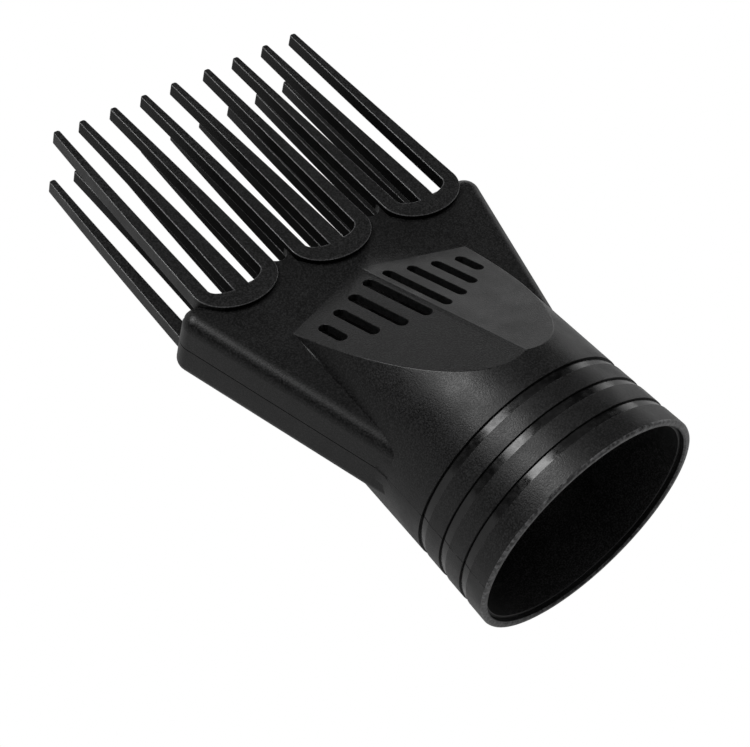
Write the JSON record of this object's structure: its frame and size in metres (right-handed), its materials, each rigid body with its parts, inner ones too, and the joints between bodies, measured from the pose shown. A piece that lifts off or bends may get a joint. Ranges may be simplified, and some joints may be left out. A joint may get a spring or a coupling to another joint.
{
  "type": "hair dryer comb nozzle",
  "caption": "Push-on comb nozzle for a hair dryer: round grooved collar, flattened duct with vent slots and two rows of long comb teeth.",
  "frame": {"origin": "centre of the gripping bore's open end, 1.15 mm inside the collar's rim", "axes": "+Y along the air flow from collar to comb tips, +Z towards the side with the vents, +X to the right looking along the air flow"},
  "size_m": [0.0728, 0.1242, 0.05],
  "materials": {
    "shell_plastic": "fine grained matte black",
    "comb_plastic": "fine grained matte black",
    "liner_plastic": "smooth satin black"
  },
  "bodies": {
    "root": {"upper_shell": "shell_plastic", "lower_shell": "shell_plastic", "collar_liner": "liner_plastic", "upper_comb_left": "comb_plastic", "upper_comb_centre": "comb_plastic", "upper_comb_right": "comb_plastic", "lower_comb_left": "comb_plastic", "lower_comb_centre": "comb_plastic", "lower_comb_right": "comb_plastic"}
  },
  "joints": []
}
